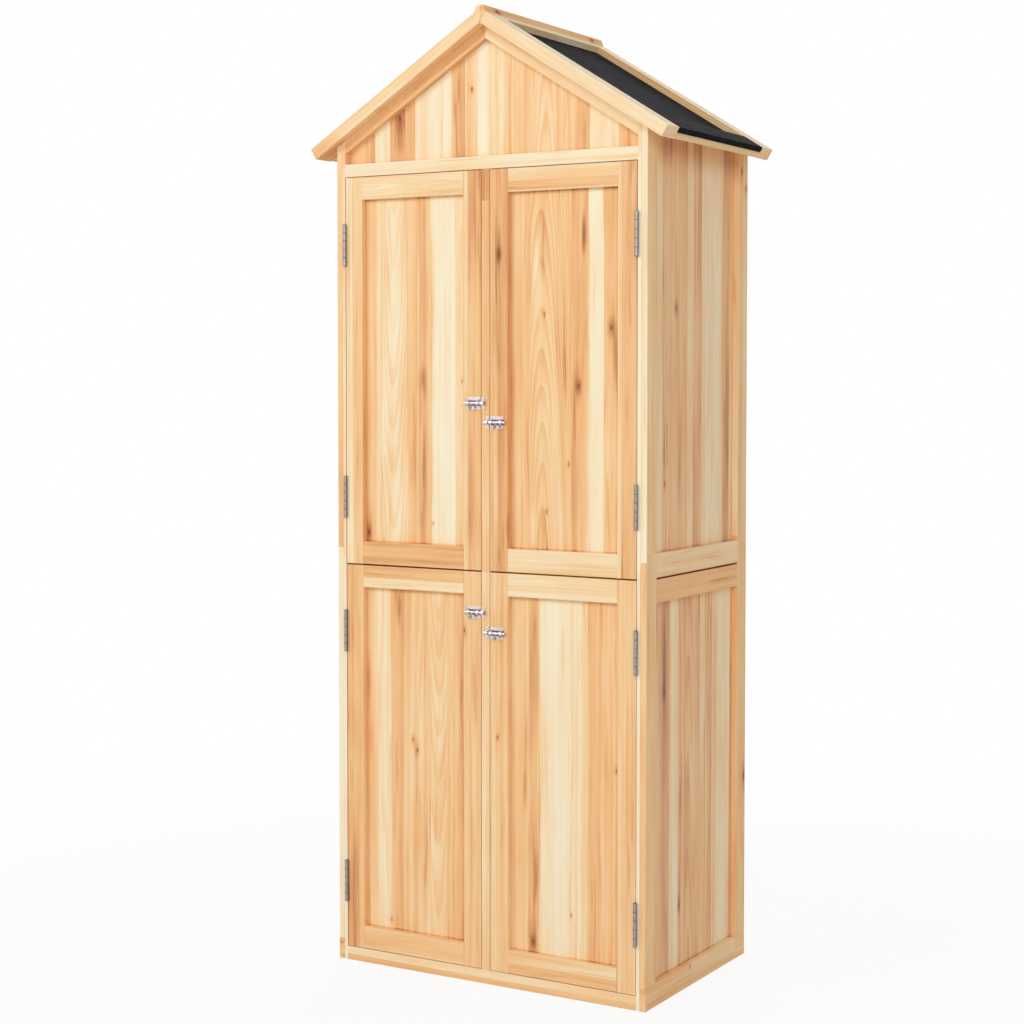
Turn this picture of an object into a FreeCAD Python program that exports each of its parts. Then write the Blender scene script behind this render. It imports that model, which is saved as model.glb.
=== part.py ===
import FreeCAD, Part
import math
import os

os.makedirs("parts", exist_ok=True)

# Garden storage cabinet of fir: a two-storey body with four framed doors, four barrel bolts
# and a gable roof with felt. Millimetres, +Z up, front towards -Y, origin on the ground
# below the middle of the roof.

# Overall size
overall_height = 1900.0
roof_width = 800.0
roof_depth = 480.0
body_width = 700.0
body_depth = 450.0
front_overhang = 20.0

# Timber stock
board_t = 7.0
batten_t = 13.0
rail_h = 45.0
door_stile_w = 40.0
side_stile_w = 42.0
panel_t = 12.0
edge_ease = 0.8

# Heights of the body
side_bottom_rail_h = 44.0
bottom_rail_h = 27.5
bottom_rail_d = 40.0
seam_z = 811.0
stile_split_rise = 17.5
head_rail_h = 25.5
gable_shoulder_h = 47.3
centre_post_w = 18.0

# Gaps between the doors and what surrounds them
door_gap = 1.5
seam_gap = 2.5
door_rest_gap = 0.5

# Door stops and inner pieces
stop_overlap = 12.0
centre_stop_w = 40.0
back_rail_t = 20.0
low_shelf_z = 430.0
high_shelf_z = 1230.0

# Roof
roof_slope_deg = 31.7
roof_t = 24.0
end_batten_w = 50.0
ridge_rail_w = 20.0
eave_rail_w = 45.0
deck_t = 10.0
felt_t = 2.0
felt_ramp = 45.0
felt_fold = 11.0
ridge_rise = 5.7
ridge_bar_flat = 14.0
ridge_bar_seat = 4.0
ridge_screw_y = 192.0
ridge_screw_lean_deg = 53.0
ridge_screw_l = 30.0
ridge_screw_r = 1.5
ridge_screw_sink = 6.0
ridge_hole_r = 2.4
ridge_drill_l = 20.0
gable_trim_h = 22.5

# Hinges
hinge_l = 83.0
hinge_inset = 93.0
hinge_leaf_w = 15.0
hinge_leaf_t = 1.2
hinge_play = 0.3
knuckle_r = 3.5
knuckle_count = 5
knuckle_play = 0.3
pin_r = 1.8
pin_play = 0.05
pin_proud = 0.8
mortise_play = 0.2
hinge_screw_l = 14.0
hinge_screw_r = 1.3
hinge_screw_head_r = 2.4
hinge_screw_inset = 8.5
hinge_screw_end = 10.0

# Barrel bolts
upper_left_bolt_rise = 327.0
upper_right_bolt_rise = 290.0
lower_left_bolt_drop = 80.5
lower_right_bolt_drop = 119.0
plate_h = 24.0
plate_t = 1.2
plate_corner_r = 2.0
plate_edge_gap = 0.5
plate_margin = 1.0
guide_w = 6.0
guide_t = 1.0
bar_r = 2.75
bar_tail = 6.0
bar_play = 0.4
bar_tip_r = 1.0
bar_proud = 0.5
bolt_throw = 8.0
bolt_draw = 4.0
knob_stem_r = 1.5
knob_stem_l = 8.5
knob_r = 3.5
knob_l = 5.0
knob_round = 1.2
knob_tilt_deg = 45.0
stem_play = 0.5
keeper_w = 8.0
keeper_inset = 0.5
keeper_play = 0.55
bolt_screw_r = 1.2
bolt_screw_l = 11.0
bolt_screw_head_r = 2.3
bolt_screw_head_h = 1.0
bolt_screw_head_round = 0.5
bolt_screw_rise = 8.2
recess_w = 0.6
recess_l = 2.6
recess_depth = 0.5

# Places worked out from the sizes above
front_y = -roof_depth / 2 + front_overhang
back_y = front_y + body_depth
wall_t = board_t + batten_t
side_x = body_width / 2
wall_x = side_x - wall_t
rest_y = front_y + wall_t + door_rest_gap
stop_back_y = rest_y + batten_t
back_face_y = back_y - board_t
back_rail_y = back_face_y - back_rail_t
lower_top_z = seam_z - seam_gap / 2
upper_bottom_z = seam_z + seam_gap / 2
split_z = seam_z + stile_split_rise
floor_top_z = bottom_rail_h + panel_t
tie_z = seam_z - rail_h / 2
tie_top_z = seam_z + rail_h / 2
door_out_x = wall_x - door_gap
door_in_x = centre_post_w / 2 + door_gap
door_panel_y = front_y + batten_t
slope = math.radians(roof_slope_deg)
slope_tan = math.tan(slope)
slope_cos = math.cos(slope)
slope_sin = math.sin(slope)
apex_z = overall_height - ridge_rise - roof_t / slope_cos
slope_l = (roof_width / 2 - roof_t * slope_sin) / slope_cos
head_top_z = apex_z - wall_x * slope_tan - gable_shoulder_h
opening_top_z = head_top_z - head_rail_h
top_stop_z = opening_top_z - stop_overlap
batten_in_y = roof_depth / 2 - end_batten_w
hinge_x = wall_x - door_gap / 2
hinge_y = front_y - knuckle_r - knuckle_play
leaf_in_x = hinge_x - hinge_play / 2
leaf_out_x = hinge_x + hinge_play / 2


def vec(x, y, z):
    return FreeCAD.Vector(x, y, z)


def box(x0, x1, y0, y1, z0, z1):
    return Part.makeBox(x1 - x0, y1 - y0, z1 - z0, vec(x0, y0, z0))


def eased(x0, x1, y0, y1, z0, z1):
    """A sawn bar with its four long edges eased."""
    solid = box(x0, x1, y0, y1, z0, z1)
    lengths = (x1 - x0, y1 - y0, z1 - z0)
    along = lengths.index(max(lengths))
    long_edges = []
    for edge in solid.Edges:
        run = edge.Vertexes[1].Point - edge.Vertexes[0].Point
        if abs((run.x, run.y, run.z)[along]) > 0.5 * lengths[along]:
            long_edges.append(edge)
    return solid.makeChamfer(edge_ease, long_edges)


def prism(points, y0, y1):
    """A solid with the given outline in the XZ plane, from y0 to y1."""
    corners = [vec(x, y0, z) for x, z in points]
    wire = Part.makePolygon(corners + [corners[0]])
    return Part.Face(wire).extrude(vec(0, y1 - y0, 0))


def mirrored(shape):
    """The same piece on the other side of the cabinet."""
    return shape.mirror(vec(0, 0, 0), vec(1, 0, 0))


def on_side(shape, side):
    return shape if side > 0 else mirrored(shape)


def cut_all(shape, tools):
    for tool in tools:
        shape = shape.cut(tool)
    return shape


def export(name, solids):
    shape = solids[0] if len(solids) == 1 else Part.makeCompound(solids)
    shape.exportStep("parts/" + name + ".step")


def under_roof(x):
    """Height of the roof's underside at a distance x from the middle."""
    return apex_z - abs(x) * slope_tan


def on_slope(s, n):
    """Point on the right roof slope: s down the slope, n out from its underside."""
    x = s * slope_cos + n * slope_sin
    z = apex_z - s * slope_sin + n * slope_cos
    return x, z


# Hinges: two leaves let into the door edge and the wall, five knuckles on a pin
def hinge_zs(door_z0, door_z1):
    return [door_z0 + hinge_inset, door_z1 - hinge_inset - hinge_l]


def knuckle_span(z0, index):
    pitch = hinge_l / knuckle_count
    low = z0 + index * pitch + (knuckle_play / 2 if index > 0 else 0)
    high = z0 + (index + 1) * pitch - (knuckle_play / 2 if index < knuckle_count - 1 else 0)
    return low, high


def hinge_leaf(z0, x0, x1, own, bore_r):
    leaf = box(x0, x1, front_y, front_y + hinge_leaf_w, z0, z0 + hinge_l)
    for index in own:
        low, high = knuckle_span(z0, index)
        barrel = Part.makeCylinder(knuckle_r, high - low, vec(hinge_x, hinge_y, low))
        web = box(x0, x1, hinge_y, front_y, low, high)
        leaf = leaf.fuse([barrel, web])
    bore = Part.makeCylinder(bore_r, hinge_l, vec(hinge_x, hinge_y, z0))
    return leaf.cut(bore).removeSplitter()


def hinge_screw_zs(z0):
    span = hinge_l - 2 * hinge_screw_end
    return [z0 + hinge_screw_end + span * part for part in (0.0, 0.5, 1.0)]


def hinge_screw(x_face, z, way):
    """Countersunk screw whose head is flush with a leaf's face and which runs in way along X."""
    start = vec(x_face, front_y + hinge_screw_inset, z)
    axis = vec(way, 0, 0)
    head = Part.makeCone(hinge_screw_head_r, hinge_screw_r, hinge_leaf_t, start, axis)
    shank = Part.makeCylinder(hinge_screw_r, hinge_screw_l, start, axis)
    screw = head.fuse(shank).removeSplitter()
    x0 = x_face if way > 0 else x_face - recess_depth
    x1 = x0 + recess_depth
    y = start.y
    slots = [box(x0, x1, y - recess_l / 2, y + recess_l / 2, z - recess_w / 2, z + recess_w / 2),
             box(x0, x1, y - recess_w / 2, y + recess_w / 2, z - recess_l / 2, z + recess_l / 2)]
    return screw, cut_all(screw, slots)


def hinge(z0):
    """Everything of one right-hand hinge: leaves, pin, screws and the wood they take away."""
    frame_leaf = hinge_leaf(z0, leaf_out_x, leaf_out_x + hinge_leaf_t, (0, 2, 4), pin_r)
    door_leaf = hinge_leaf(z0, leaf_in_x - hinge_leaf_t, leaf_in_x, (1, 3), pin_r + pin_play)
    pin = Part.makeCylinder(pin_r, hinge_l + 2 * pin_proud, vec(hinge_x, hinge_y, z0 - pin_proud))
    frame_blanks, frame_screws, door_blanks, door_screws = [], [], [], []
    for z in hinge_screw_zs(z0):
        blank, screw = hinge_screw(leaf_out_x, z, 1)
        frame_blanks.append(blank)
        frame_screws.append(screw)
        blank, screw = hinge_screw(leaf_in_x, z, -1)
        door_blanks.append(blank)
        door_screws.append(screw)
    y1 = front_y + hinge_leaf_w + mortise_play
    low = z0 - mortise_play
    high = z0 + hinge_l + mortise_play
    frame_pocket = box(wall_x, leaf_out_x + hinge_leaf_t, front_y, y1, low, high)
    door_pocket = box(leaf_in_x - hinge_leaf_t, door_out_x, front_y, y1, low, high)
    return {
        "frame_leaf": cut_all(frame_leaf, frame_blanks),
        "door_leaf": cut_all(door_leaf, door_blanks),
        "pin": pin,
        "frame_screws": frame_screws,
        "door_screws": door_screws,
        "frame_cuts": [frame_pocket] + frame_blanks,
        "door_cuts": [door_pocket] + door_blanks,
    }


# Barrel bolts: a pressed plate with two guides, a sliding bar with a knob, and a keeper
plate_x = door_in_x + plate_edge_gap
plate_face_y = front_y - plate_t
bar_y = plate_face_y - bar_play - bar_r
bar_tip_x = door_in_x - bar_proud
first_guide_x = plate_x + plate_margin
stem_x = first_guide_x + guide_w + stem_play + knob_stem_r + bolt_throw
second_guide_x = stem_x + knob_stem_r + stem_play + bolt_draw
plate_l = second_guide_x + guide_w + plate_margin - plate_x
bar_l = plate_x + plate_l + bar_tail - bar_tip_x
keeper_x = centre_post_w / 2 - keeper_inset - keeper_w


def guide(x0, width, z, play):
    """A loop pressed up over the bar."""
    inner = bar_r + play
    outer = inner + guide_t
    along = vec(1, 0, 0)
    start = vec(x0, bar_y, z)
    hoop = Part.makeCylinder(outer, width, start, along)
    hoop = hoop.fuse(box(x0, x0 + width, bar_y, plate_face_y, z - outer, z + outer))
    hoop = hoop.cut(Part.makeCylinder(inner, width, start, along))
    return hoop.cut(box(x0, x0 + width, bar_y, plate_face_y, z - inner, z + inner))


def flange(x0, length, z):
    plate = box(x0, x0 + length, plate_face_y, front_y, z - plate_h / 2, z + plate_h / 2)
    corners = [edge for edge in plate.Edges if abs(edge.tangentAt(edge.FirstParameter).y) > 0.5]
    return plate.makeFillet(plate_corner_r, corners)


def bolt_screw(x, z):
    """Round-headed screw standing on a flange; the blank is what it takes out of the wood."""
    into = vec(0, 1, 0)
    out = vec(0, -1, 0)
    head = Part.makeCylinder(bolt_screw_head_r, bolt_screw_head_h, vec(x, plate_face_y, z), out)
    rim = [edge for edge in head.Edges
           if abs(edge.BoundBox.YMax - (plate_face_y - bolt_screw_head_h)) < 0.01
           and edge.BoundBox.YLength < 0.01]
    head = head.makeFillet(bolt_screw_head_round, rim)
    shank = Part.makeCylinder(bolt_screw_r, bolt_screw_l + plate_t, vec(x, plate_face_y, z), into)
    y1 = plate_face_y - bolt_screw_head_h + recess_depth
    y0 = y1 - bolt_screw_head_h
    slots = [box(x - recess_l / 2, x + recess_l / 2, y0, y1, z - recess_w / 2, z + recess_w / 2),
             box(x - recess_w / 2, x + recess_w / 2, y0, y1, z - recess_l / 2, z + recess_l / 2)]
    return shank, cut_all(head.fuse(shank).removeSplitter(), slots)


def bolt_plate(z):
    plate = flange(plate_x, plate_l, z)
    plate = plate.fuse([guide(first_guide_x, guide_w, z, bar_play),
                        guide(second_guide_x, guide_w, z, bar_play)])
    return plate.removeSplitter()


def bolt_keeper(z):
    keeper = flange(keeper_x, keeper_w, z)
    return keeper.fuse(guide(keeper_x, keeper_w, z, keeper_play)).removeSplitter()


def bolt_bar(z):
    """The bar at rest, drawn back out of the keeper, with its knob hanging down and forwards."""
    along = vec(1, 0, 0)
    bar = Part.makeCylinder(bar_r, bar_l, vec(bar_tip_x, bar_y, z), along)
    bar = bar.makeFillet(bar_tip_r, [e for e in bar.Edges if e.BoundBox.XLength < 0.01])
    tilt = math.radians(knob_tilt_deg)
    down = vec(0, -math.cos(tilt), -math.sin(tilt))
    start = vec(stem_x, bar_y, z)
    stem = Part.makeCylinder(knob_stem_r, knob_stem_l + knob_l / 2, start, down)
    knob = Part.makeCylinder(knob_r, knob_l, start + down * knob_stem_l, down)
    rims = [e for e in knob.Edges if len(e.Vertexes) == 1 or e.isClosed()]
    knob = knob.makeFillet(knob_round, rims)
    return bar.fuse([stem, knob]).removeSplitter()


def screw_set(xs, z):
    blanks, screws = [], []
    for x in xs:
        for sign in (-1, 1):
            blank, screw = bolt_screw(x, z + sign * bolt_screw_rise)
            blanks.append(blank)
            screws.append(screw)
    return blanks, screws


# Doors: boards edge to edge, with stiles and rails nailed to their face
door_z = {"lower": (bottom_rail_h + door_gap, lower_top_z),
          "upper": (upper_bottom_z, opening_top_z - door_gap)}
bolt_z = {("upper", -1): seam_z + upper_left_bolt_rise,
          ("upper", 1): seam_z + upper_right_bolt_rise,
          ("lower", -1): seam_z - lower_left_bolt_drop,
          ("lower", 1): seam_z - lower_right_bolt_drop}
side_name = {-1: "left", 1: "right"}

frame_leaves, pins, keepers, carcass_screws = [], [], [], []
wall_cuts = {-1: [], 1: []}
post_cuts = []

for storey in ("upper", "lower"):
    for side in (-1, 1):
        z0, z1 = door_z[storey]
        bz = bolt_z[(storey, side)]
        hinges = [hinge(z) for z in hinge_zs(z0, z1)]
        cuts = [tool for h in hinges for tool in h["door_cuts"]]
        plate_blanks, plate_screws = screw_set(
            (first_guide_x + guide_w / 2, second_guide_x + guide_w / 2), bz)
        keeper_blanks, keeper_screws = screw_set((keeper_x + keeper_w / 2,), bz)

        hinge_stile = eased(door_out_x - door_stile_w, door_out_x, front_y, door_panel_y, z0, z1)
        lock_stile = eased(door_in_x, door_in_x + door_stile_w, front_y, door_panel_y, z0, z1)
        stiles = [cut_all(hinge_stile, cuts), cut_all(lock_stile, plate_blanks)]
        rail_x0 = door_in_x + door_stile_w
        rail_x1 = door_out_x - door_stile_w
        rails = [eased(rail_x0, rail_x1, front_y, door_panel_y, z0, z0 + rail_h),
                 eased(rail_x0, rail_x1, front_y, door_panel_y, z1 - rail_h, z1)]
        boards = box(door_in_x, door_out_x, door_panel_y, front_y + wall_t, z0, z1)
        boards = cut_all(boards, [h["door_cuts"][0] for h in hinges])
        plate = cut_all(bolt_plate(bz), plate_blanks)
        keeper = cut_all(bolt_keeper(bz), keeper_blanks)

        door = storey + "_" + side_name[side] + "_door"
        export(door + "_stiles", [on_side(s, side) for s in stiles])
        export(door + "_rails", [on_side(s, side) for s in rails])
        export(door + "_boards", [on_side(boards, side)])
        export(door + "_hinge_leaves", [on_side(h["door_leaf"], side) for h in hinges])
        export(door + "_bolt_plate", [on_side(plate, side)])
        export(door + "_bolt_bar", [on_side(bolt_bar(bz), side)])
        door_screws = [s for h in hinges for s in h["door_screws"]] + plate_screws
        export(door + "_screws", [on_side(s, side) for s in door_screws])

        for h in hinges:
            frame_leaves.append(on_side(h["frame_leaf"], side))
            pins.append(on_side(h["pin"], side))
            carcass_screws += [on_side(s, side) for s in h["frame_screws"]]
            wall_cuts[side] += h["frame_cuts"]
        keepers.append(on_side(keeper, side))
        carcass_screws += [on_side(s, side) for s in keeper_screws]
        post_cuts += [on_side(s, side) for s in keeper_blanks]

export("frame_hinge_leaves", frame_leaves)
export("hinge_pins", pins)
export("bolt_keepers", keepers)


# Side walls: boards with stiles and rails nailed outside, in a lower and an upper half
def sloped_bar(x0, x1, y0, y1, z0):
    """An upright that runs up to the roof's underside, with its long edges eased."""
    tall = eased(x0, x1, y0, y1, z0, under_roof(x0) + rail_h)
    above = prism([(x0, under_roof(x0)), (x1, under_roof(x1)),
                   (x1, overall_height), (x0, overall_height)], y0, y1)
    return tall.cut(above)


outer_x = wall_x + board_t
stile_ys = [(front_y, front_y + side_stile_w), (back_y - side_stile_w, back_y)]
for side in (-1, 1):
    cuts = wall_cuts[side]
    lower_boards = box(wall_x, outer_x, front_y, back_y, 0, split_z)
    upper_boards = prism([(wall_x, split_z), (outer_x, split_z),
                          (outer_x, under_roof(outer_x)), (wall_x, under_roof(wall_x))],
                         front_y, back_y)
    stiles = []
    for y0, y1 in stile_ys:
        stiles.append(eased(outer_x, side_x, y0, y1, side_bottom_rail_h, split_z))
        stiles.append(sloped_bar(outer_x, side_x, y0, y1, split_z))
    stiles[0] = cut_all(stiles[0], cuts)
    stiles[1] = cut_all(stiles[1], cuts)
    inner_y0 = front_y + side_stile_w
    inner_y1 = back_y - side_stile_w
    rails = [eased(outer_x, side_x, front_y, back_y, 0, side_bottom_rail_h),
             eased(outer_x, side_x, inner_y0, inner_y1, lower_top_z - rail_h, lower_top_z),
             eased(outer_x, side_x, inner_y0, inner_y1, upper_bottom_z, upper_bottom_z + rail_h)]
    name = side_name[side] + "_side_"
    export(name + "lower_boards", [on_side(cut_all(lower_boards, cuts), side)])
    export(name + "upper_boards", [on_side(cut_all(upper_boards, cuts), side)])
    export(name + "stiles", [on_side(s, side) for s in stiles])
    export(name + "rails", [on_side(s, side) for s in rails])

# Front: bottom rail, head rail and the two centre posts between the doors
export("front_bottom_rail", [eased(-wall_x, wall_x, front_y, front_y + bottom_rail_d,
                                   0, bottom_rail_h)])
export("head_rail", [eased(-wall_x, wall_x, front_y, rest_y, opening_top_z, head_top_z)])
half_post = centre_post_w / 2
posts = [eased(-half_post, half_post, front_y, rest_y, bottom_rail_h, seam_z),
         eased(-half_post, half_post, front_y, rest_y, seam_z, opening_top_z)]
export("centre_posts", [cut_all(post, post_cuts) for post in posts])

# Stops behind the doors: the centre ones, one across the seam and one under the head rail
half_stop = centre_stop_w / 2
export("door_stops", [
    eased(-half_stop, half_stop, rest_y, stop_back_y, floor_top_z, tie_z),
    eased(-half_stop, half_stop, rest_y, stop_back_y, tie_top_z, top_stop_z),
    eased(-wall_x, wall_x, rest_y, stop_back_y, tie_z, tie_top_z),
    eased(-wall_x, wall_x, rest_y, stop_back_y, top_stop_z, head_top_z)])

# Front gable: boards behind two sloping trims
gable_boards = prism([(-wall_x, head_top_z), (wall_x, head_top_z), (wall_x, under_roof(wall_x)),
                      (0, under_roof(0)), (-wall_x, under_roof(wall_x))],
                     door_panel_y, front_y + wall_t)
export("gable_boards", [gable_boards])
trim_drop = gable_trim_h / slope_cos
gable_trim = prism([(0, under_roof(0)), (wall_x, under_roof(wall_x)),
                    (wall_x, under_roof(wall_x) - trim_drop), (0, under_roof(0) - trim_drop)],
                   front_y, door_panel_y)
export("gable_trims", [gable_trim, mirrored(gable_trim)])

# Back: two board panels with rails inside, the middle one across the seam
export("back_lower_boards", [box(-wall_x, wall_x, back_face_y, back_y, 0, lower_top_z)])
export("back_upper_boards", [prism(
    [(-wall_x, upper_bottom_z), (wall_x, upper_bottom_z), (wall_x, under_roof(wall_x)),
     (0, under_roof(0)), (-wall_x, under_roof(wall_x))], back_face_y, back_y)])
export("back_rails", [
    eased(-wall_x, wall_x, back_rail_y, back_face_y, 0, bottom_rail_h),
    eased(-wall_x, wall_x, back_rail_y, back_face_y, tie_z, tie_top_z),
    eased(-wall_x, wall_x, back_rail_y, back_face_y, head_top_z - rail_h, head_top_z)])

# Inside: floor, divider, three shelves in the left bay and the battens that carry them
half_divider = panel_t / 2
export("floor_board", [box(-wall_x, wall_x, rest_y, back_face_y, bottom_rail_h, floor_top_z)])
export("centre_divider", [box(-half_divider, half_divider, stop_back_y, back_rail_y,
                              floor_top_z, top_stop_z)])
shelves = []
wall_battens = []
for z in (low_shelf_z, tie_top_z, high_shelf_z):
    shelves.append(box(-wall_x, -half_divider, stop_back_y, back_face_y, z, z + panel_t))
    for x0, x1 in ((-wall_x, -wall_x + batten_t), (-half_divider - batten_t, -half_divider)):
        wall_battens.append(eased(x0, x1, stop_back_y, back_rail_y, z - rail_h, z))
wall_battens.append(eased(wall_x - batten_t, wall_x, stop_back_y, back_rail_y, tie_z, tie_top_z))
export("shelves", shelves)
export("wall_battens", wall_battens)


# Roof: two framed slopes with a boarded deck and felt, and a bar in the notch at the ridge
def slope_bar(s0, s1, n0, n1, y0, y1):
    return prism([on_slope(s0, n0), on_slope(s1, n0), on_slope(s1, n1), on_slope(s0, n1)], y0, y1)


eave_s = slope_l - felt_t
rail_s = eave_s - eave_rail_w
eave_rail_n = roof_t - felt_t
ramp_s = rail_s - felt_ramp
felt_n = deck_t + felt_t
end_battens = [slope_bar(0, slope_l, 0, roof_t, -roof_depth / 2, -batten_in_y),
               slope_bar(0, slope_l, 0, roof_t, batten_in_y, roof_depth / 2)]
eave_rail = slope_bar(rail_s, eave_s, 0, eave_rail_n, -batten_in_y, batten_in_y)
ridge_rail = slope_bar(0, ridge_rail_w, 0, roof_t, -batten_in_y, batten_in_y)
deck = slope_bar(ridge_rail_w, rail_s, 0, deck_t, -batten_in_y, batten_in_y)
felt_line = [(ridge_rail_w, deck_t), (ramp_s, deck_t), (rail_s, eave_rail_n),
             (eave_s, eave_rail_n), (eave_s, roof_t - felt_fold), (slope_l, roof_t - felt_fold),
             (slope_l, roof_t), (rail_s, roof_t), (ramp_s, felt_n), (ridge_rail_w, felt_n)]
felt = prism([on_slope(s, n) for s, n in felt_line], -batten_in_y, batten_in_y)

# Ridge bar, held by screws driven at a slant through its bevelled sides
seat_x, seat_z = on_slope(0, ridge_bar_seat)
shoulder_x, shoulder_z = on_slope(0, roof_t)
half_flat = ridge_bar_flat / 2
ridge_bar = prism([(-seat_x, seat_z), (seat_x, seat_z), (shoulder_x, shoulder_z),
                   (half_flat, overall_height), (-half_flat, overall_height),
                   (-shoulder_x, shoulder_z)], -roof_depth / 2, roof_depth / 2)


def ridge_screw(y):
    """A sunk screw in the right-hand bevel, with the hole that its head went in by."""
    lean = math.radians(ridge_screw_lean_deg)
    axis = vec(0, math.sin(lean), -math.cos(lean))
    mouth = vec((shoulder_x + half_flat) / 2, y, (shoulder_z + overall_height) / 2)
    start = mouth + axis * (ridge_screw_sink - ridge_drill_l)
    hole = Part.makeCylinder(ridge_hole_r, ridge_drill_l, start, axis)
    seat = mouth + axis * ridge_screw_sink
    head = Part.makeCone(ridge_hole_r, ridge_screw_r, ridge_hole_r - ridge_screw_r, seat, axis)
    shank = Part.makeCylinder(ridge_screw_r, ridge_screw_l, seat, axis)
    return hole, head.fuse(shank).removeSplitter()


ridge_holes, ridge_screws = [], []
for y in (-ridge_screw_y, ridge_screw_y):
    hole, screw = ridge_screw(y)
    for side in (-1, 1):
        ridge_holes.append(on_side(hole, side))
        ridge_screws.append(on_side(screw, side))
right_battens = [cut_all(b, ridge_screws) for b in end_battens]
right_ridge_rail = cut_all(ridge_rail, ridge_screws)
export("left_roof_end_battens", [mirrored(b) for b in right_battens])
export("right_roof_end_battens", right_battens)
export("eave_rails", [eave_rail, mirrored(eave_rail)])
export("ridge_rails", [right_ridge_rail, mirrored(right_ridge_rail)])
export("roof_decks", [deck, mirrored(deck)])
export("roof_felts", [felt, mirrored(felt)])
export("ridge_bar", [cut_all(ridge_bar, ridge_holes + ridge_screws)])
export("carcass_screws", carcass_screws + ridge_screws)
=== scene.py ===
import bpy
import math
import random
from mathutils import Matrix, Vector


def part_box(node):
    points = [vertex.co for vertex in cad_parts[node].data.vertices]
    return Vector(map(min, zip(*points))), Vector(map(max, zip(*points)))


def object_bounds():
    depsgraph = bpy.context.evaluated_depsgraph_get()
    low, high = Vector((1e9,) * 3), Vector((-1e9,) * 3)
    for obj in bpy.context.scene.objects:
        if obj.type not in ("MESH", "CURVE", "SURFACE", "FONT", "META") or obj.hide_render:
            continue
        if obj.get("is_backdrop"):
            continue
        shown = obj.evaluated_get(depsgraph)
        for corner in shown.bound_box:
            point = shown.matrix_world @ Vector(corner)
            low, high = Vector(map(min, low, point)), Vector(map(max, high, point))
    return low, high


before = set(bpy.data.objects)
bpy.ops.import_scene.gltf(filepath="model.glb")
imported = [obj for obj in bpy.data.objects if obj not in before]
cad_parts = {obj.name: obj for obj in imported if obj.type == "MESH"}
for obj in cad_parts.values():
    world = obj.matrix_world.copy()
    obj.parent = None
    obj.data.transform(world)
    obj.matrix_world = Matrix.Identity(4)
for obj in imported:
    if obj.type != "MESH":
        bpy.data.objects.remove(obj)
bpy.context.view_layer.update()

scene = bpy.context.scene
scene.view_settings.view_transform = "Standard"

# The camera stands three and a half metres in front of the cabinet and two to its right, at
# chest height, so that the right side shows beside the doors. It looks a little down.
lens = bpy.data.cameras.new("camera")
lens.sensor_width = 36.0
lens.lens = 70.57
lens.shift_y = -0.05
lens.clip_end = 200.0
camera = bpy.data.objects.new("camera", lens)
camera.location = (2.02532, -3.53996, 1.190035)
downwards = 2.411
leftwards = 30.626
camera.rotation_euler = (math.radians(90.0 - downwards), 0.0, math.radians(leftwards))
scene.collection.objects.link(camera)
scene.camera = camera


# The floor is a wide roll of pale studio paper, laid flat. It keeps the cabinet's soft shadow
# and turns as white as the room a few steps away from it.
class Shade:
    """A value, vector or colour on its way through the nodes of a finish."""

    def __init__(self, tree, socket):
        self.tree = tree
        self.socket = socket

    def node(self, kind, settings, inputs, output=0):
        """Adds a node to the finish, sets it, fills or links its sockets, and returns an output."""
        made = self.tree.nodes.new("ShaderNode" + kind)
        for name, value in settings.items():
            if name == "stops":
                while len(made.color_ramp.elements) < len(value):
                    made.color_ramp.elements.new(1.0)
                for element, (place, colour) in zip(made.color_ramp.elements, value):
                    element.position = place
                    element.color = colour
            elif name == "steps":
                made.color_ramp.interpolation = value
            else:
                setattr(made, name, value)
        for name, value in inputs.items():
            if isinstance(value, Shade):
                self.tree.links.new(value.socket, made.inputs[name])
            else:
                made.inputs[name].default_value = value
        return Shade(self.tree, made.outputs[output])

    def other(self, output):
        """Another output of the node that this one comes from."""
        return Shade(self.tree, self.socket.node.outputs[output])

    def feed(self, node, name):
        """Links this value to a socket of a node."""
        self.tree.links.new(self.socket, node.inputs[name])

    def maths(self, operation, *values):
        return self.node("Math", {"operation": operation}, dict(enumerate(values)))

    def __add__(self, value):
        return self.maths("ADD", self, value)

    def __radd__(self, value):
        return self.maths("ADD", value, self)

    def __sub__(self, value):
        return self.maths("SUBTRACT", self, value)

    def __rsub__(self, value):
        return self.maths("SUBTRACT", value, self)

    def __mul__(self, value):
        return self.maths("MULTIPLY", self, value)

    def __rmul__(self, value):
        return self.maths("MULTIPLY", value, self)

    def __truediv__(self, value):
        return self.maths("DIVIDE", self, value)

    def __pow__(self, value):
        return self.maths("POWER", self, value)

    def __abs__(self):
        return self.maths("ABSOLUTE", self)

    def __gt__(self, value):
        return self.maths("GREATER_THAN", self, value)

    def __lt__(self, value):
        return self.maths("LESS_THAN", self, value)

    def __or__(self, value):
        """The greater of the two."""
        return self.maths("MAXIMUM", self, value)

    def fraction(self):
        """What follows the decimal point."""
        return self.maths("FRACT", self)

    def fade(self, start, end):
        """1 up to start, 0 from end on, and a smooth fall between them."""
        inputs = {"Value": self, "From Min": start, "From Max": end, "To Min": 1.0, "To Max": 0.0}
        return self.node("MapRange", {"interpolation_type": "SMOOTHSTEP"}, inputs)

    def mix(self, colour, other, way="MIX"):
        """The first colour where this value is 0, and the other laid over it where it is 1."""
        settings = {"data_type": "RGBA", "blend_type": way}
        return self.node("Mix", settings, {0: self, 6: colour, 7: other}, 2)


def paint(red, green, blue):
    """A paint's colour from 0 to 255, as its eye sees it, turned into the share of light it throws back."""
    levels = [value / 255.0 for value in (red, green, blue)]
    return (*[v / 12.92 if v <= 0.04045 else ((v + 0.055) / 1.055) ** 2.4 for v in levels], 1.0)


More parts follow.
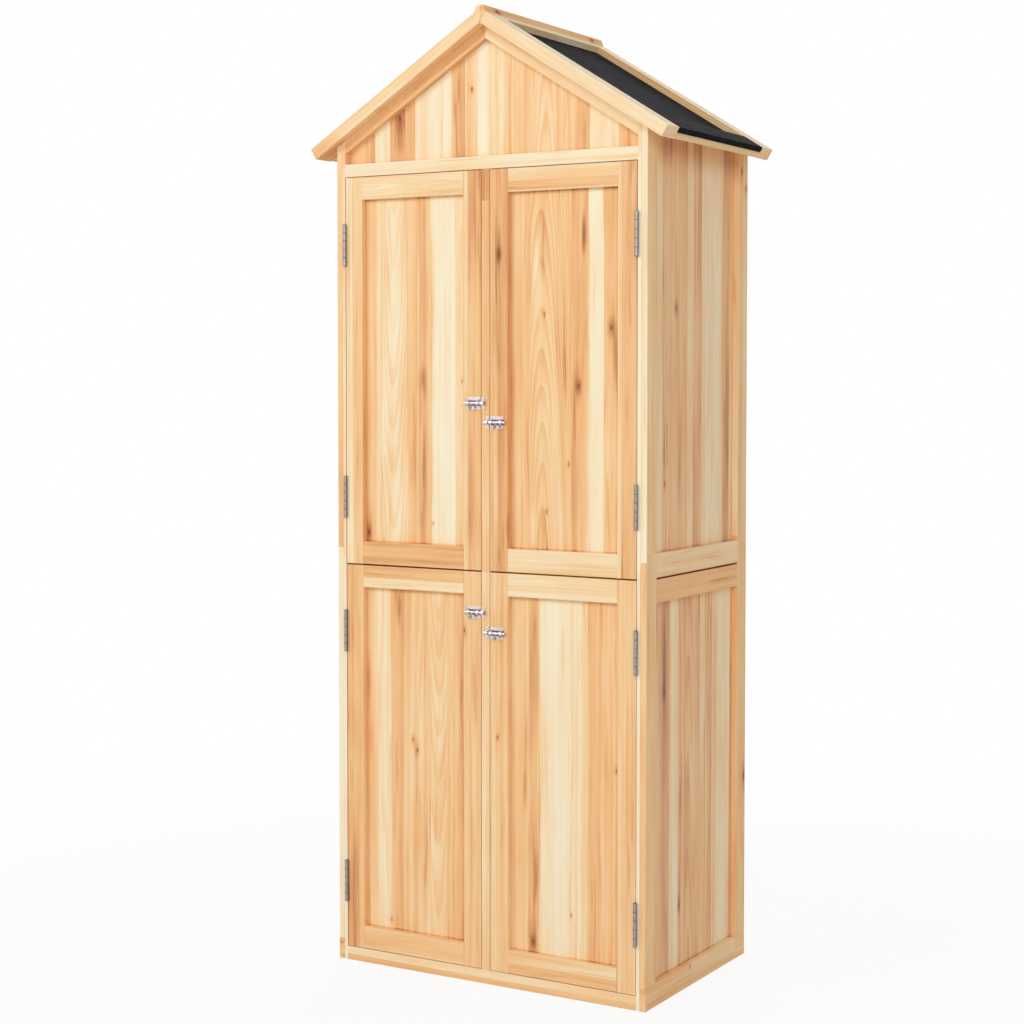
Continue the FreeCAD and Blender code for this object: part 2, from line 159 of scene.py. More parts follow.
def start_finish(owner, out_kind):
    """Clears a material's or the world's nodes, and gives its output node and a Shade to build on."""
    owner.use_nodes = True
    owner.node_tree.nodes.clear()
    out = owner.node_tree.nodes.new("ShaderNodeOutput" + out_kind)
    return out, Shade(owner.node_tree, None)


def plainly_seen(start):
    """1 where a thing is seen by itself, in a gloss or through glass, and 0 where it only throws light."""
    ray = start.node("LightPath", {}, {}, "Is Camera Ray")
    return ray | ray.other("Is Glossy Ray") | ray.other("Is Transmission Ray")


WHITE = (1.0, 1.0, 1.0, 1.0)
paper = bpy.data.materials.new("studio paper")
paper_out, start = start_finish(paper, "Material")
place = start.node("TexCoord", {}, {}, "Object")
steps = place.node("VectorMath", {"operation": "LENGTH"}, {0: place}, "Value")
shadow_share = steps.fade(0.7, 2.6) * 0.1
whiteness = plainly_seen(start) * (1.0 - shadow_share)
sheet = start.node("BsdfDiffuse", {}, {"Color": paint(236, 235, 233)})
glow = start.node("Emission", {}, {"Color": WHITE, "Strength": 1.0})
start.node("MixShader", {}, {0: whiteness, 1: sheet, 2: glow}).feed(paper_out, "Surface")
bpy.ops.object.select_all(action="DESELECT")
bpy.ops.mesh.primitive_plane_add(size=120.0)
floor = bpy.context.object
floor.name = "studio_floor"
floor.data.materials.append(paper)
floor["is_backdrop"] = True

# The room is evenly lit and shows as plain white behind the cabinet and in its bright metal.
# Broad lamps stand high on the left and right in front, and one behind.
room = bpy.data.worlds.new("white room")
scene.world = room
room_out, start = start_finish(room, "World")
dim = start.node("Background", {}, {"Color": WHITE, "Strength": 0.52})
bright = start.node("Background", {}, {"Color": WHITE, "Strength": 1.0})
start.node("MixShader", {}, {0: plainly_seen(start), 1: dim, 2: bright}).feed(room_out, "Surface")


def softbox(name, place, watts):
    """A broad square lamp that looks at the middle of the cabinet, a metre above the floor."""
    lamp = bpy.data.lights.new(name, "AREA")
    lamp.size = 2.4
    lamp.energy = watts
    stand = bpy.data.objects.new(name, lamp)
    stand.location = place
    backwards = stand.location.copy()
    backwards.z -= 1.0
    stand.rotation_euler = backwards.to_track_quat("Z", "Y").to_euler()
    scene.collection.objects.link(stand)


softbox("left lamp", (-2.8, -5.4, 3.8), 102.0)
softbox("right lamp", (3.2, -5.2, 3.4), 102.0)
softbox("rear lamp", (-1.8, 4.4, 2.8), 90.0)


# The cabinet stands on a floor board behind a front rail. All its joinery is planed fir, pale,
# soft and fast grown. Its staves come from different logs, so that cream and orange ones lie
# side by side, and they are glued edge to edge.
TONES = {
    "white": 0.1,
    "cream": 0.22,
    "straw": 0.35,
    "peach": 0.5,
    "amber": 0.6,
    "orange": 0.68,
    "tan": 0.82,
    "brown": 1.0,
}
PALEST = -0.12  # the tone of the first of these colours
DARKEST = 1.25  # the tone of the last
FIR_COLOURS = [
    (0.0, paint(249, 240, 213)),
    (0.12, paint(248, 235, 202)),
    (0.22, paint(248, 228, 189)),
    (0.32, paint(247, 216, 169)),
    (0.46, paint(245, 201, 146)),
    (0.58, paint(239, 186, 130)),
    (0.69, paint(224, 164, 110)),
    (0.81, paint(196, 134, 88)),
    (1.0, paint(146, 92, 56)),
]
KNOT_COLOUR = paint(118, 70, 42)


def plain_finish(name):
    """A material with one plain shader, and the piece's own x, y and z in metres."""
    material = bpy.data.materials.new(name)
    out, start = start_finish(material, "Material")
    shader = start.node("BsdfPrincipled", {}, {})
    shader.feed(out, "Surface")
    place = start.node("TexCoord", {}, {}, "Object")
    x = place.node("SeparateXYZ", {}, {0: place})
    return material, shader.socket.node, x, x.other("Y"), x.other("Z")


def dress(material, *names):
    """Gives those CAD pieces a finish."""
    for name in names:
        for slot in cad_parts[name].material_slots:
            slot.material = material


def grain_ways(grain, x, y, z, lean, fold):
    """The ways along, across and through a piece's boards, turned by their lean."""
    if lean:
        turned = x.node("CombineXYZ", {}, {0: abs(x) if fold else x, 1: y, 2: z})
        turned = x.node("Mapping", {}, {"Vector": turned, "Rotation": (0.0, math.radians(lean), 0.0)})
        x = x.node("SeparateXYZ", {}, {0: turned})
        z = x.other("Z")
    ways = {"x": x, "y": y, "z": z}
    return [ways[letter] for letter in grain]


def lay_boards(boards, first_edge, seed, mixed):
    """Lists where each board begins in metres, its tone, where its heart lies, how steeply its rings rise,
    and a chance that tells it from its neighbours. The hearts of mixed ones lie anywhere."""
    luck = random.Random(seed)
    edge = first_edge
    rows = []
    for width, tone, *sawn in boards:
        if sawn:
            off, rise = sawn
        else:
            off = luck.choice((-1.0, 1.0)) * luck.uniform(50.0, 140.0)
            rise = luck.uniform(-0.006, 0.006)
        heart = luck.uniform(-0.4, 0.4) if mixed else edge + width / 2000.0 + off / 1000.0
        rows.append((edge, TONES[tone] + luck.uniform(-0.03, 0.03), heart, rise, luck.random()))
        edge += width / 1000.0
    return rows


def fir(
    piece,
    grain,
    boards,
    seed,
    by=None,
    knots=(),
    streaks=(),
    opening=None,
    crossed=None,
    painted_pale_light=0.0,
    lean=0.0,
    fold=False,
):
    """Planed fir for a CAD piece. Places and sizes are in millimetres.

    grain     the axes along, across and through the boards
    boards    each one's width and tone, and for a flat-sawn one how far its heart lies off its
              middle and how steeply it rises
    by        what the boards are laid along, from 0 on, instead of across the grain from the
              piece's edge
    knots     each one's place across and along, and its radius
    streaks   each one's place across and along, half its width and length, and how much darker
    opening   the left, right, bottom and top of what a frame leaves free, and the face's place; the edges of the opening take a painted shade
    crossed   says where the boards lie the other way
    bleached  the share of white mixed into its colour, a painted paler light
    lean      the grain's slope in degrees, which fold mirrors in the left half
    """
    material, shader, x, y, z = plain_finish("fir of " + piece)
    along, across, through = grain_ways(grain, x, y, z, lean, fold)
    if crossed:
        turn = crossed(x, y, z) * (across - along)
        along, across = along + turn, across - turn
    low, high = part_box(piece)
    length, width, depth = ["xyz".index(letter) for letter in grain]
    half_length = (high[length] - low[length]) / 2.0
    core_line = (low[depth] + high[depth]) / 2.0

    # A ramp with a step for each board holds its tone, heart, rise and chance. They are glued
    # where the step lies within the next four tenths of a millimetre.
    order = by(x, y, z) if by else across
    first_edge = 0.0 if by else low[width]
    whole = sum(board[0] for board in boards) / 1000.0
    rows = lay_boards(boards, first_edge, seed, mixed=by is not None)
    least = min(row[2] for row in rows) - 0.01
    span = max(row[2] for row in rows) + 0.01 - least
    stops = [
        ((at - first_edge) / whole, (tone, (heart - least) / span, rise + 0.5, chance))
        for at, tone, heart, rise, chance in rows
    ]
    ramp = {"steps": "CONSTANT", "stops": stops}
    picked = order.node("ValToRGB", ramp, {0: (order - first_edge) / whole})
    tone = picked.node("SeparateColor", {}, {0: picked})
    heart = tone.other("Green") * span + least
    rise = tone.other("Blue") - 0.5
    chance = picked.other("Alpha")
    next_chance = order.node("ValToRGB", ramp, {0: (order - first_edge + 0.0004) / whole}, "Alpha")
    glued = abs(chance - next_chance) > 0.0001
    darker = glued * 0.08
    shift = chance * 40.0 + seed * 3.7

    def cloud(length, width, detail, drift=0.0):
        """Soft noise whose blots have about that length and width."""
        spot = {
            0: along * (1000.0 / length) + shift,
            1: (across + drift) * (1000.0 / width),
            2: through * (1000.0 / width),
        }
        spot = along.node("CombineXYZ", {}, spot)
        return along.node("TexNoise", {}, {"Vector": spot, "Scale": 1.0, "Detail": detail})

    def from_place(across_at, along_at, half_wide, half_long):
        """How far a point lies from that place, as a share of the half width and length."""
        aside = (across - across_at / 1000.0) / (half_wide / 1000.0)
        onward = (along - along_at / 1000.0) / (half_long / 1000.0)
        spot = across.node("CombineXYZ", {}, {0: aside, 1: onward})
        return spot.node("VectorMath", {"operation": "LENGTH"}, {0: spot}, "Value")

    # The grain wanders to and fro by about a centimetre.
    sway = cloud(900.0, 160.0, 1.0)
    sway = sway.node("SeparateColor", {}, {0: sway.other("Color")})
    wobble = cloud(170.0, 45.0, 2.0)
    drift = (sway - 0.5) * 0.012 + (wobble - 0.5) * 0.009

    # In a panel the tones wander over the joints and blend a little from stave to stave, and
    # the last four millimetres before the frame are darker, a painted shade of the recess.
    if opening:
        bent = (order - first_edge + (sway.other("Blue") - 0.5) * 0.016 + (wobble - 0.5) * 0.012) / whole
        hard = bent.node("ValToRGB", ramp, {0: bent})
        middles = [
            ((row[0] - first_edge) / whole + board[0] / 2000.0 / whole, (row[1], row[1], row[1], 1.0))
            for row, board in zip(rows, boards)
        ]
        soft = bent.node("ValToRGB", {"stops": middles}, {0: bent})
        tone = hard.node("SeparateColor", {}, {0: hard}) * 0.68
        tone = tone + soft.node("SeparateColor", {}, {0: soft}) * 0.32
        left, right, bottom, top, face = [value / 1000.0 for value in opening]
        beside = (left - across) | (across - right)
        beyond = (bottom - along) | (along - top)
        shown = (abs(through) > face) * (beside | beyond).fade(0.0, 0.001)
        # Painted shade, deeper along the rails at the bottom and top than along the stiles.
        recess_shade = (0.0 - beyond).fade(0.0005, 0.0042) * 0.34 | (0.0 - beside).fade(0.0005, 0.0042) * 0.1
        darker = darker + recess_shade * shown

    # The year rings bend round a knot, and the wood darkens towards it.
    side = across - heart + drift
    cores = []
    for across_at, along_at, radius in knots:
        far = from_place(across_at, along_at, radius * 4.5, radius * 10.0)
        near = far.fade(0.0, 1.0)
        side = side + near * (radius * 0.0012)
        darker = darker + near * 0.3
        cores.append(far.fade(0.08, 0.24))
    for *place, more in streaks:
        darker = darker + from_place(*place).fade(0.1, 1.0) * more

    # The rings lie round the heart, three and a half to five millimetres apart. Each is pale at
    # first and ends in a thin line of late wood, which shows most in a flat-sawn board.
    steep = abs(rise)
    climb = rise * (along - (low[length] + half_length)) + steep * half_length
    deep = chance * 0.02 + 0.014 + climb + (sway.other("Green") - 0.5) * 0.02 + (through - core_line)
    ring = (side * side + deep * deep) ** 0.5 / (chance * 0.0015 + 0.0035)
    part = ring.fraction()
    late = (1.0 - part.fade(0.2, 0.9)) * part.fade(0.92, 1.0)
    bold = steep * 2.8 + cloud(260.0, 30.0, 1.0) * 0.2 - 0.05
    inputs = {"W": ring * 0.4 + shift, "Scale": 1.0, "Detail": 2.0}
    years = ring.node("TexNoise", {"noise_dimensions": "1D"}, inputs)

    # Stripes, fine lines and fibres follow the grain, patches are broad, and flames are rare.
    stripe = cloud(500.0, 26.0, 2.0, drift)
    fine = cloud(240.0, 6.0, 1.0, drift)
    fibre = cloud(60.0, 1.2, 1.0)
    patch = cloud(300.0, 70.0, 3.0)
    flame = 1.0 - cloud(190.0, 10.0, 2.0, drift).fade(0.56, 0.74)
    warmth = tone + late * bold + (years - 0.5) * 0.42 + (stripe - 0.5) * 0.55 + (fine - 0.5) * 0.2
    warmth = warmth + (fibre - 0.5) * 0.1 + (patch - 0.5) * 0.6 + flame * 0.22 - 0.05 + darker
    colour = warmth.node("ValToRGB", {"stops": FIR_COLOURS}, {0: (warmth - PALEST) / (DARKEST - PALEST)})

    # Some boards, and patches of the others, are rosier.
    blush = patch.node("SeparateColor", {}, {0: patch.other("Color")}, "Green")
    blush = (chance * 0.7 + (blush - 0.5) * 1.8).fade(1.0, 0.0)
    colour = blush.mix(colour, (1.0, 0.93, 0.89, 1.0), "MULTIPLY")
    # The white mixed in here is a painted paler light.
    if painted_pale_light:
        colour = colour.node("Mix", {"data_type": "RGBA"}, {0: painted_pale_light, 6: colour, 7: WHITE}, 2)
    for core in cores:
        colour = (core * 0.8).mix(colour, KNOT_COLOUR)
    colour.feed(shader, "Base Color")
    (0.5 + fibre * 0.2 + late * 0.06).feed(shader, "Roughness")
    shader.inputs["Specular IOR Level"].default_value = 0.3
    relief = late * 0.5 + fibre * 0.5 - glued
    bump = relief.node("Bump", {}, {"Strength": 0.3, "Distance": 0.0003, "Height": relief})
    bump.feed(shader, "Normal")
    dress(material, piece)


fir("front_bottom_rail", "xzy", [(12, "orange"), (16, "straw")], 1)
fir("floor_board", "xyz", [(90, "straw"), (110, "peach"), (120, "cream"), (110, "straw")], 2)

# Each side wall is a lower and an upper panel of glued staves, nailed behind stiles that stand
# proud at its corners and rails at the foot and on both sides of the seam. The foot rail is
# spliced from two lengths.
SEAM = 811.0  # the height at which the lower and the upper half meet
WHOLE = 3000.0  # longer than any board, for a streak that runs right through
lower_staves = [
    (60, "peach"),
    (22, "amber"),
    (42, "tan"),
    (36, "cream"),
    (34, "orange"),
    (34, "amber", 0, 0.03),
    (30, "orange"),
    (26, "peach"),
    (30, "orange"),
    (26, "peach"),
    (58, "cream"),
    (52, "amber"),
]
upper_staves = [
    (88, "straw"),
    (55, "orange"),
    (32, "amber"),
    (20, "orange"),
    (30, "peach"),
    (35, "tan"),
    (35, "straw"),
    (55, "cream"),
    (10, "peach"),
    (30, "tan"),
    (60, "peach"),
]
stile_joint = 828.5  # the height at which a stile's lower and upper length meet
# The stiles' inner edges, which stand proud of the panels, take tones that paint the light and shade in the
# recess.
shaded_inner_edges = [("tan", "tan"), ("amber", "straw")]
stile_tones = {
    "right": [("peach", "peach"), ("peach", "peach"), ("amber", "white"), *shaded_inner_edges],
    "left": [("cream", "peach"), ("peach", "peach"), ("white", "peach"), *shaded_inner_edges],
}
foot_rail = [(30.8, "amber"), (192.2, "peach"), (207, "straw")]
seam_rails = [(820, "peach"), (61, "amber"), (74, "straw")]
splice = (38, -27, 9, 2.2, 0.8)
seam_line = (SEAM, 0, 2.6, WHOLE, 0.8)


def stile_faces(x, y, z):
    """The stiles' height, with two metres for each face: the front and the rear stiles' broad faces, the
    front ends, and the front and the rear stiles' inner edges, whose tones paint their light and shade."""
    rear = y > 0.0
    front_end = y < -0.2192
    inner_edge_shading = abs(y - 0.005) < 0.1836
    return z + rear * 2.0 + front_end * 4.0 + inner_edge_shading * 6.0


def rail_parts(x, y, z):
    """The depth along the foot rail, which is spliced, and then the height of the rails above it."""
    above = z > 0.06
    return y + 0.25 + above * (z + 0.25 - y)


for number, side in enumerate(stile_tones):
    seed = 11 + number * 20
    lengths = []
    for lower_tone, upper_tone in stile_tones[side]:
        lengths += [(stile_joint, lower_tone), (2000.0 - stile_joint, upper_tone)]
    fir(
        side + "_side_stiles",
        "zyx",
        lengths,
        seed,
        by=stile_faces,
        knots=[(201, 1603, 5), (221, 1569, 3), (224, 371, 5)],
    )
    rails = [*foot_rail, *seam_rails]
    fir(side + "_side_rails", "yzx", rails, seed + 1, by=rail_parts, streaks=[splice, seam_line])
    # The panels' front edges are paler than their faces.
    lower_edge = (-220, 900, 1.5, WHOLE, -0.45)
    upper_edge = (-220, 900, 1.5, WHOLE, -0.45 if side == "right" else -0.1)
    # A little white mixed into the panels' colour paints a paler light on the side walls, and the edges of
    # their frames take a painted shade.
    fir(
        side + "_side_lower_boards",
        "zyx",
        lower_staves,
        seed + 2,
        opening=(-178, 188, 44, 764.75, 336.5),
        painted_pale_light=0.06,
        knots=[(-119, 590, 3), (-52, 163, 3)],
        streaks=[lower_edge, (-119, 640, 12, 130, 0.3), (-150, 700, 9, 110, 0.25), (-52, 190, 8, 80, 0.2)],
    )
    fir(
        side + "_side_upper_boards",
        "zyx",
        upper_staves,
        seed + 3,
        opening=(-178, 188, 857.25, 1800, 336.5),
        painted_pale_light=0.06,
        knots=[(-72, 1320, 3), (-120, 985, 2)],
        # The last streak is a painted shade under the eave, along the top of the upper panel.
        streaks=[upper_edge, (-120, 1040, 5, 90, 0.25), (0, 1640, WHOLE, 70, 0.22)],
    )

# The back is closed by a lower and an upper panel of staves that meet at the seam. Three rails
# across the inside stiffen them.
back = [
    (80, "straw"),
    (95, "peach"),
    (70, "cream"),
    (90, "orange"),
    (85, "straw", 0, 0.04),
    (80, "peach"),
    (75, "cream"),
    (85, "orange"),
]
fir("back_lower_boards", "zxy", back, 51, knots=[(-200, 300, 4), (120, 560, 3)])
fir("back_upper_boards", "zxy", back[::-1], 52, knots=[(-80, 1100, 4), (210, 1400, 3)])


def height(x, y, z):
    """How high a point lies above the floor."""
    return z


fir("back_rails", "xzy", [(400, "straw"), (800, "cream"), (600, "peach")], 53, by=height)

# Inside, a divider of glued staves parts the cabinet into a left and a right half. The shelves
# lie on battens that are screwed to the walls.
inner_staves = [(90, "straw"), (95, "peach"), (70, "cream"), (100, "straw"), (90, "cream")]
fir("centre_divider", "zyx", inner_staves, 54)
fir("shelves", "xyz", inner_staves, 55)
fir("wall_battens", "yzx", [(600, "peach"), (700, "straw")], 56, by=height)


# The doors close against upright stops behind the centre posts, and against two that lie across
# the cabinet, behind the seam and under the head rail.
def lying_stops(x, y, z):
    """1 in the stop behind the seam, 45 millimetres high, and in the one under the head rail."""
    at_seam = abs(z - SEAM / 1000.0).fade(0.0226, 0.0228)
    return at_seam | (z > 1.5774)


fir(
    "door_stops",
    "zxy",
    [(788.5, "peach"), (45, "peach"), (744, "straw"), (45, "peach")],
    57,
    by=height,
    crossed=lying_stops,
    # This streak is a painted shade along the seam, on the lying stop behind the gap between the doors.
    streaks=[(SEAM, 0, 3, WHOLE, 0.8)],
)

# The front frame has a narrow post between the doors, in two lengths that meet at the seam, and
# a rail over the doors that carries the gable.
post_lengths = [(SEAM, "straw"), (713, "orange"), (100, "tan")]
fir("centre_posts", "zxy", post_lengths, 61, by=height, streaks=[(0, SEAM, WHOLE, 1.6, 0.3)])
fir("head_rail", "xzy", [(60, "cream")], 62)

# The gable is filled with upright staves, and two slanting trims cover their sawn tops.
gable = [
    (63, "orange"),
    (37, "cream"),
    (58, "orange"),
    (85, "white"),
    (31, "orange"),
    (29, "peach"),
    (26, "white"),
    (43, "straw"),
    (33, "peach"),
    (27, "peach"),
    (45, "straw", 0, 0.05),
    (27, "peach"),
    (47, "amber"),
    (61, "cream"),
    (48, "peach"),
]
fir(
    "gable_boards",
    "zxy",
    gable,
    63,
    knots=[(-38, 1746, 3), (-206, 1700, 4)],
    # The last streak is a painted shadow on the gable boards along the top of the head rail.
    streaks=[(-206, 1665, 14, 60, 0.3), (0, 1615, WHOLE, 4, 0.45)],
)
PITCH = 31.7  # the slope of the roof in degrees
HALF_WIDTH = 400.0  # from the roof's left end to the ridge


def from_left(x, y, z):
    """How far a point lies from the left end of the roof."""
    return x + HALF_WIDTH / 1000.0


trims = [(HALF_WIDTH, "tan"), (HALF_WIDTH, "straw")]
fir("gable_trims", "xzy", trims, 64, by=from_left, lean=-PITCH, fold=True)


# The roof hangs on rails along the ridge and the eaves. Battens close its ends in front and
# behind, and a bar with bevelled sides caps the ridge, screwed down through two holes.
def from_front(x, y, z):
    """How far a point lies behind the front end of the roof."""
    return y + 0.24


# The faces that the front and rear battens turn to each other are brown, a painted shade.
shaded_batten_faces = [(1.2, "brown"), (378.8, "peach"), (1.2, "brown")]
fir(
    "left_roof_end_battens",
    "xzy",
    [(49.4, "straw"), *shaded_batten_faces, (49.4, "straw")],
    71,
    by=from_front,
    lean=PITCH,
    knots=[(1582, 578, 3), (1580, 548, 2.5), (1586, 700, 1.5)],
    streaks=[(1590, 540, 40, 75, 0.3)],
)
fir(
    "right_roof_end_battens",
    "xzy",
    [(49.4, "cream"), *shaded_batten_faces, (49.4, "straw")],
    72,
    by=from_front,
    lean=-PITCH,
)
fir("eave_rails", "yzx", [(HALF_WIDTH, "peach"), (HALF_WIDTH, "straw")], 73, by=from_left)
fir("ridge_rails", "yzx", [(HALF_WIDTH, "straw"), (HALF_WIDTH, "straw")], 74, by=from_left)
# The two screw holes are darkened as knots are: a dark burr, and painted shade in the holes.
hole_burr_and_shade = [(1893, -192, 3), (1893, 192, 3)]
fir("ridge_bar", "yzx", [(HALF_WIDTH, "straw"), (HALF_WIDTH, "amber")], 75, by=from_left, knots=hole_burr_and_shade)

# Each slope is decked with boards that run along the eaves, and the felt is nailed over them.
# It is black roofing felt with a fine mineral grit.
decks = [(100, "straw"), (100, "peach"), (100, "cream")] * 2 + [(106, "straw")]
fir("roof_decks", "yxz", decks, 76)
felt, shader, x, y, z = plain_finish("black felt")
spot = x.node("CombineXYZ", {}, {0: x, 1: y, 2: z})
grit = x.node("TexNoise", {}, {"Vector": spot, "Scale": 900.0, "Detail": 3.0})
blot = x.node("TexNoise", {}, {"Vector": spot, "Scale": 24.0, "Detail": 4.0})
felt_colours = [
    (0.34, paint(6, 6, 8)),
    (0.52, paint(14, 13, 16)),
    (0.64, paint(48, 45, 51)),
    (0.72, paint(88, 84, 90)),
]
colour = grit.node("ValToRGB", {"stops": felt_colours}, {0: grit + (blot - 0.5) * 0.24})
colour.feed(shader, "Base Color")
(0.8 + grit * 0.15).feed(shader, "Roughness")
shader.inputs["Specular IOR Level"].default_value = 0.07
grit.node("Bump", {}, {"Strength": 0.6, "Distance": 0.0006, "Height": grit}).feed(shader, "Normal")
dress(felt, "roof_felts")

# The four doors are glued panels in frames that stand proud of them on the outside. Each frame
# has a top and a bottom rail between its two stiles.

# Boards are listed from the left, each door's left stile before its right one, and its rails
# from the foot up, with the panel between them.
doors = {
    "upper_left": {
        "boards": [
            (75.5, "peach"),
            (63, "cream", 0, -0.04),
            (24, "peach"),
            (33, "orange"),
            (56, "white"),
            (66.5, "straw"),
        ],
        "knots": [(-283, 875, 3), (-129, 899, 1.5), (-61, 1180, 1.5)],
        "streaks": [(-280, 890, 20, 60, 0.2), (-154, 1185, 14, 40, 0.25), (-150, 1020, 8, 90, 0.12)],
        "stiles": ([(14, "cream"), (25.4, "peach")], [(9, "straw"), (30.4, "orange")]),
        "inner_edge_shading": "orange",
        "stile_knots": [],
        "stile_streaks": [(-34, 975, 16, 170, 0.14), (-30, 1500, 12, 80, 0.1)],
        "rails": [(45, "orange"), (685.75, "straw"), (45, "straw", 0, 0.03)],
    },
    "upper_right": {
        "boards": [
            (67.5, "amber"),
            (11, "peach"),
            (92, "peach", -14, 0.05),
            (39, "orange"),
            (32, "white"),
            (76.5, "orange"),
        ],
        "knots": [(268, 1281, 3), (198, 1171, 2.5), (129, 931, 1.5), (124, 1309, 1.5), (177, 1023, 1.5)],
        "streaks": [
            (209, 1458, 7, 60, 0.5),
            (278, 1230, 9, 100, 0.3),
            (103, 1420, 14, 130, -0.25),
            (100, 900, 10, 60, -0.25),
            (270, 1270, 12, 90, 0.15),
            (197, 1180, 14, 60, 0.12),
            (196, 980, 8, 110, 0.12),
        ],
        "stiles": ([(14, "orange"), (25.4, "tan")], [(8, "peach"), (31.4, "orange")]),
        "inner_edge_shading": "cream",
        "stile_knots": [(31, 1424, 2.5)],
        "stile_streaks": [
            (30, 1430, 8, 70, 0.2),
            (20, 1290, 8, 90, 0.12),
            (24, 950, 10, 100, -0.2),
            (308, 1120, 12, 90, 0.12),
        ],
        "rails": [(27, "straw"), (18, "cream"), (685.75, "straw"), (20, "orange"), (25, "straw")],
    },
    "lower_left": {
        "boards": [
            (63.5, "peach"),
            (34, "cream"),
            (31, "orange"),
            (64, "peach"),
            (38, "straw", 0, -0.04),
            (28, "peach"),
            (59.5, "orange"),
        ],
        "knots": [(-178, 464, 2), (-167, 443, 2.5), (-230, 92, 2)],
        "streaks": [
            (-284, 576, 7, 90, 0.35),
            (-280, 460, 9, 60, 0.15),
            (-229, 120, 5, 80, 0.25),
            (-140, 560, 2.5, 130, 0.25),
            (-212, 730, 8, 60, 0.25),
            (-170, 452, 18, 40, 0.1),
        ],
        "stiles": ([(26, "orange"), (13.4, "amber")], [(14, "peach"), (25.4, "amber")]),
        "inner_edge_shading": "peach",
        "stile_knots": [(-49, 693, 3)],
        "stile_streaks": [(-311, 470, 14, 90, 0.16), (-311, 200, 12, 90, 0.1)],
        "rails": [(45, "peach"), (690.75, "straw"), (20, "straw"), (25, "orange")],
    },
    "lower_right": {
        "boards": [
            (78.5, "peach"),
            (24, "orange"),
            (70, "white"),
            (37, "straw"),
            (36, "orange"),
            (72.5, "peach"),
        ],
        "knots": [(100, 95, 2.5), (184, 158, 1.5), (281, 446, 2)],
        "streaks": [
            (100, 110, 14, 50, 0.15),
            (150, 330, 6, 60, 0.12),
            (222, 700, 8, 80, 0.12),
            (148, 420, 50, WHOLE, -0.09),
        ],
        "stiles": ([(39.4, "peach")], [(18, "straw"), (21.4, "peach")]),
        "inner_edge_shading": "orange",
        "stile_knots": [(27, 489, 1.5)],
        "stile_streaks": [(27, 470, 6, 60, 0.18)],
        "rails": [(20, "amber"), (25, "straw"), (690.75, "straw"), (20, "cream"), (25, "straw")],
    },
}
rail_width = 45.0
panel_face = 206.5
between_stiles = (236.8, "peach")
# These two streaks paint a thin line of shade along the seam, where the upper and the lower doors meet.
seam_shade_on_ends = (0, SEAM, WHOLE, 2.6, 0.6)
seam_shade_on_edges = (SEAM, 0, 2.6, WHOLE, 0.6)
for number, (door, look) in enumerate(doors.items()):
    low, high = [[value * 1000.0 for value in corner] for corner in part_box(door + "_door_rails")]
    fir(
        door + "_door_boards",
        "zxy",
        look["boards"],
        80 + number,
        opening=[low[0], high[0], low[2] + rail_width, high[2] - rail_width, panel_face],
        knots=look["knots"],
        streaks=[*look["streaks"], seam_shade_on_ends],
    )
    # The stiles' inner edges, which stand proud of the panel, take tones that paint the light and shade on
    # them.
    left_stile, right_stile = look["stiles"]
    before = HALF_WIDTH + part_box(door + "_door_stiles")[0][0] * 1000.0
    edge = (1.2, look["inner_edge_shading"])
    fir(
        door + "_door_stiles",
        "zxy",
        [(before, "peach"), *left_stile, edge, between_stiles, edge, *right_stile],
        90 + number,
        by=from_left,
        knots=look["stile_knots"],
        streaks=[*look["stile_streaks"], seam_shade_on_ends],
    )
    fir(door + "_door_rails", "xzy", look["rails"], 100 + number, streaks=[seam_shade_on_edges])


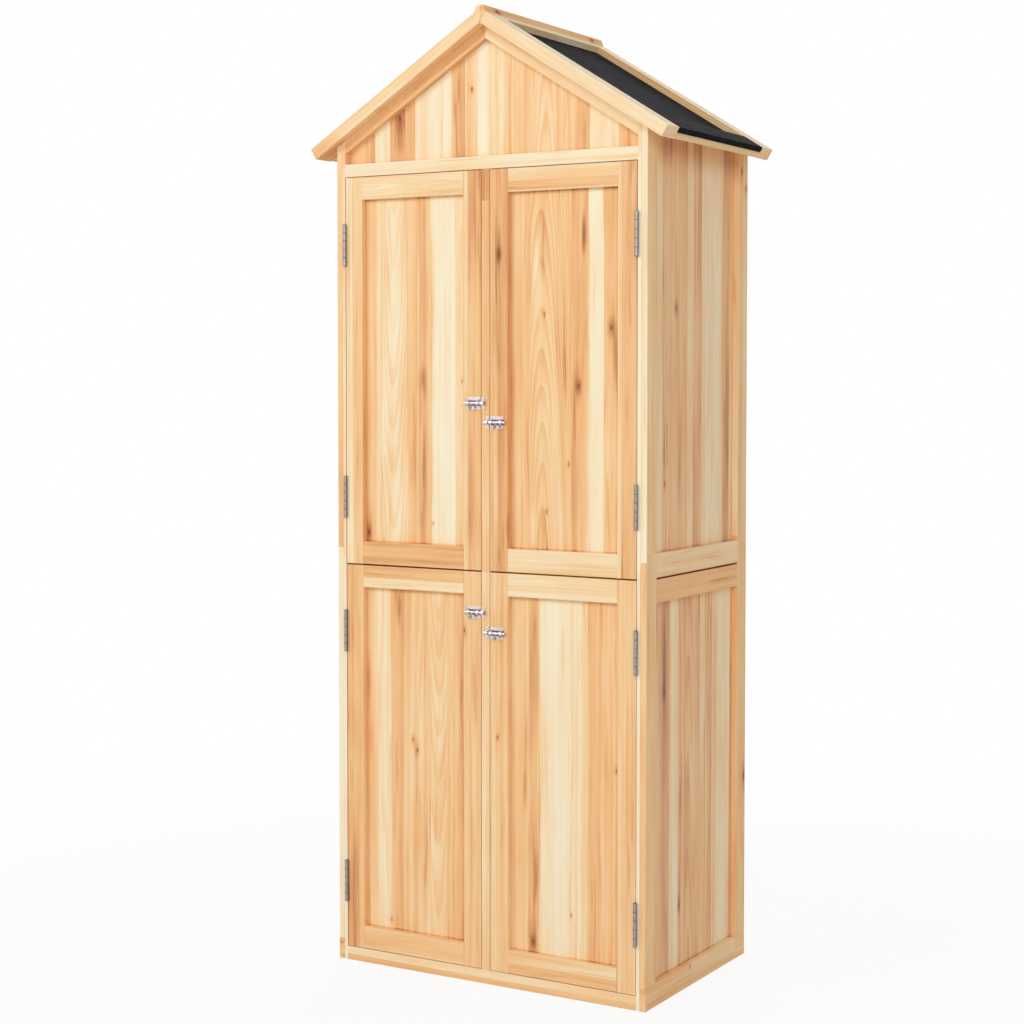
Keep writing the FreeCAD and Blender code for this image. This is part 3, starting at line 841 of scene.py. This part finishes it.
# Each door hangs on two hinges of zinc-plated steel. Their leaves are screwed to the stiles
# behind the barrel, whose five knuckles turn on a pin.
def zinc(name, light, dark, rough, painted_shade=None):
    """Zinc plate with cloudy light and dark, made darker and duller where the mask given to it paints
    shade.
    """
    material, shader, x, y, z = plain_finish(name)
    spot = x.node("CombineXYZ", {}, {0: x, 1: y, 2: z})
    cloudy = x.node("TexNoise", {}, {"Vector": spot, "Scale": 160.0, "Detail": 3.0})
    colour = cloudy.mix(dark, light)
    gloss = rough + (cloudy - 0.5) * 0.3
    if painted_shade:
        shading = painted_shade(x, y, z)
        # The painted shade is dark brown, and also makes the zinc rougher and less metallic.
        colour = shading.mix(colour, paint(58, 48, 42))
        gloss = gloss + shading * 0.3
        (1.0 - shading * 0.7).feed(shader, "Metallic")
    else:
        shader.inputs["Metallic"].default_value = 1.0
    colour.feed(shader, "Base Color")
    gloss.feed(shader, "Roughness")
    return material


hinge_feet = (0.122, 0.6338, 0.9053, 1.412)  # the heights at which the hinges begin
knuckle = 0.0166  # the height of each of their knuckles


def hinge_shade(x, y, z):
    """Painted shade behind the barrel, where it turns towards the wood, and in the joints between its
    knuckles.
    """
    behind_barrel = 1.0 - y.fade(-0.2262, -0.2236)
    shading = behind_barrel * y.fade(-0.2205, -0.2190)
    for foot in hinge_feet:
        place = (z - foot) / knuckle
        joint = abs((place + 0.5).fraction() - 0.5)
        in_barrel = abs(place - 2.5).fade(2.45, 2.55)
        shading = shading | joint.fade(0.02, 0.055) * in_barrel
    return shading * 0.85


dull_zinc = zinc("dull zinc", paint(184, 176, 170), paint(140, 130, 124), 0.36, hinge_shade)
dress(dull_zinc, "frame_hinge_leaves", "hinge_pins", *[door + "_door_hinge_leaves" for door in doors])

# A small bolt of pressed steel holds each door shut. Its plate carries the sliding bar in two
# guides, and a keeper on the centre post takes the bar's end. Its zinc is brighter than the
# hinges', as is that of all the screws.
bright_zinc = zinc("bright zinc", paint(236, 230, 232), paint(196, 188, 192), 0.26)
dress(bright_zinc, "bolt_keepers", "carcass_screws", *[door + "_door_screws" for door in doors])
for door in doors:
    low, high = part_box(door + "_door_bolt_plate")
    bar_line = (low[2] + high[2]) / 2.0

    def shade_beside_bar(x, y, z):
        """Painted shade and dark reflection on the plate along both sides of the bar."""
        return abs(z - bar_line).fade(0.0042, 0.0064) * (y > -0.2232) * 0.9

    def shade_under_bar(x, y, z):
        """Painted shade on the bar's underside."""
        return (z - bar_line).fade(-0.0048, -0.0032) * 0.35

    plate = zinc(door + " bolt plate", paint(238, 226, 226), paint(204, 192, 194), 0.3, shade_beside_bar)
    bar = zinc(door + " bolt bar", paint(222, 218, 222), paint(166, 160, 164), 0.3, shade_under_bar)
    dress(plate, door + "_door_bolt_plate")
    dress(bar, door + "_door_bolt_bar")

low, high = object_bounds()
